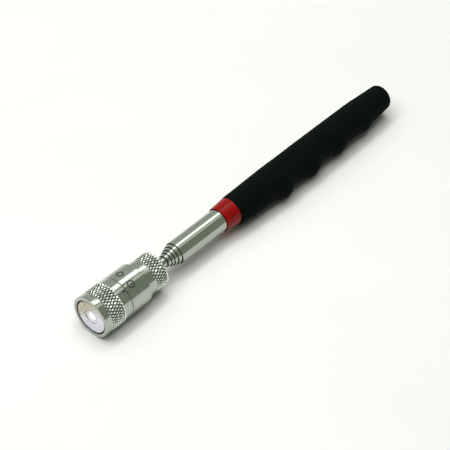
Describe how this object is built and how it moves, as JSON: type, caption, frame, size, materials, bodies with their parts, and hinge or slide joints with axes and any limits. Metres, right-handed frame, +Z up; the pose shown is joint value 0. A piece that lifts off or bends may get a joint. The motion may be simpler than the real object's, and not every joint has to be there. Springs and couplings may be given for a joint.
{
  "type": "magnetic pickup tool",
  "caption": "Slim hand tool with a ring magnet around a lamp in a knurled twist head, on a mast of telescoping tubes that slides into a black foam grip with finger grooves.",
  "frame": {"origin": "on the surface that the closed tool lies on, under the middle of its length", "axes": "+X along the tool from the magnet to the end of the grip, +Z up, finger grooves towards -Y and down"},
  "size_m": [0.182, 0.019, 0.019],
  "materials": {
    "turned_aluminium": "satin",
    "nickel": "polished",
    "chrome": "polished",
    "brass": "satin",
    "spring_steel": "satin",
    "cell_steel": "polished",
    "red_plastic": "gloss",
    "black_foam": "matte",
    "black_rubber": "matte",
    "white_plastic": "satin",
    "green_board": "satin",
    "sleeve_plastic": "satin",
    "lamp_resin": "gloss"
  },
  "bodies": {
    "handle": {"foam_grip": "black_foam", "grip_collar": "red_plastic", "tube_1": "chrome", "end_plug": "black_rubber"},
    "section_2": {"tube_2": "chrome", "stop_bush_2": "brass", "friction_shim_2": "spring_steel"},
    "section_3": {"tube_3": "chrome", "stop_bush_3": "brass", "friction_shim_3": "spring_steel"},
    "section_4": {"tube_4": "chrome", "stop_bush_4": "brass", "friction_shim_4": "spring_steel"},
    "section_5": {"tube_5": "chrome", "stop_bush_5": "brass", "friction_shim_5": "spring_steel"},
    "shim_carrier": {"friction_shim_6": "spring_steel"},
    "head": {"head_body": "turned_aluminium", "tail_cap": "turned_aluminium", "bezel_o_ring": "black_rubber", "battery_sleeve": "sleeve_plastic", "button_cell_1": "cell_steel", "button_cell_2": "cell_steel", "button_cell_3": "cell_steel", "battery_spring": "spring_steel", "mast_stud": "spring_steel", "tube_6": "chrome", "stop_bush_6": "brass"},
    "bezel": {"front_bezel": "turned_aluminium", "ring_magnet": "nickel", "led_lamp": "lamp_resin", "led_bush": "white_plastic", "led_board": "green_board", "led_lead_1": "spring_steel", "led_lead_2": "spring_steel", "front_contact": "brass"}
  },
  "joints": [
    {"name": "slide_2", "type": "slide", "parent": "handle", "child": "section_2", "axis": [-1, 0, 0], "range_m": [0, 0.113]},
    {"name": "slide_3", "type": "slide", "parent": "section_2", "child": "section_3", "axis": [-1, 0, 0], "range_m": [0, 0.113]},
    {"name": "slide_4", "type": "slide", "parent": "section_3", "child": "section_4", "axis": [-1, 0, 0], "range_m": [0, 0.113]},
    {"name": "slide_5", "type": "slide", "parent": "section_4", "child": "section_5", "axis": [-1, 0, 0], "range_m": [0, 0.113]},
    {"name": "slide_6", "type": "slide", "parent": "section_5", "child": "shim_carrier", "axis": [-1, 0, 0], "range_m": [0, 0.113]},
    {"name": "head_spin", "type": "hinge", "parent": "shim_carrier", "child": "head", "pos_m": [-0.0435, 0, 0.0095], "axis": [-1, 0, 0], "continuous": true},
    {"name": "bezel_twist", "type": "hinge", "parent": "head", "child": "bezel", "pos_m": [-0.0775, 0, 0.0095], "axis": [-1, 0, 0], "range_deg": [0, 40]}
  ]
}
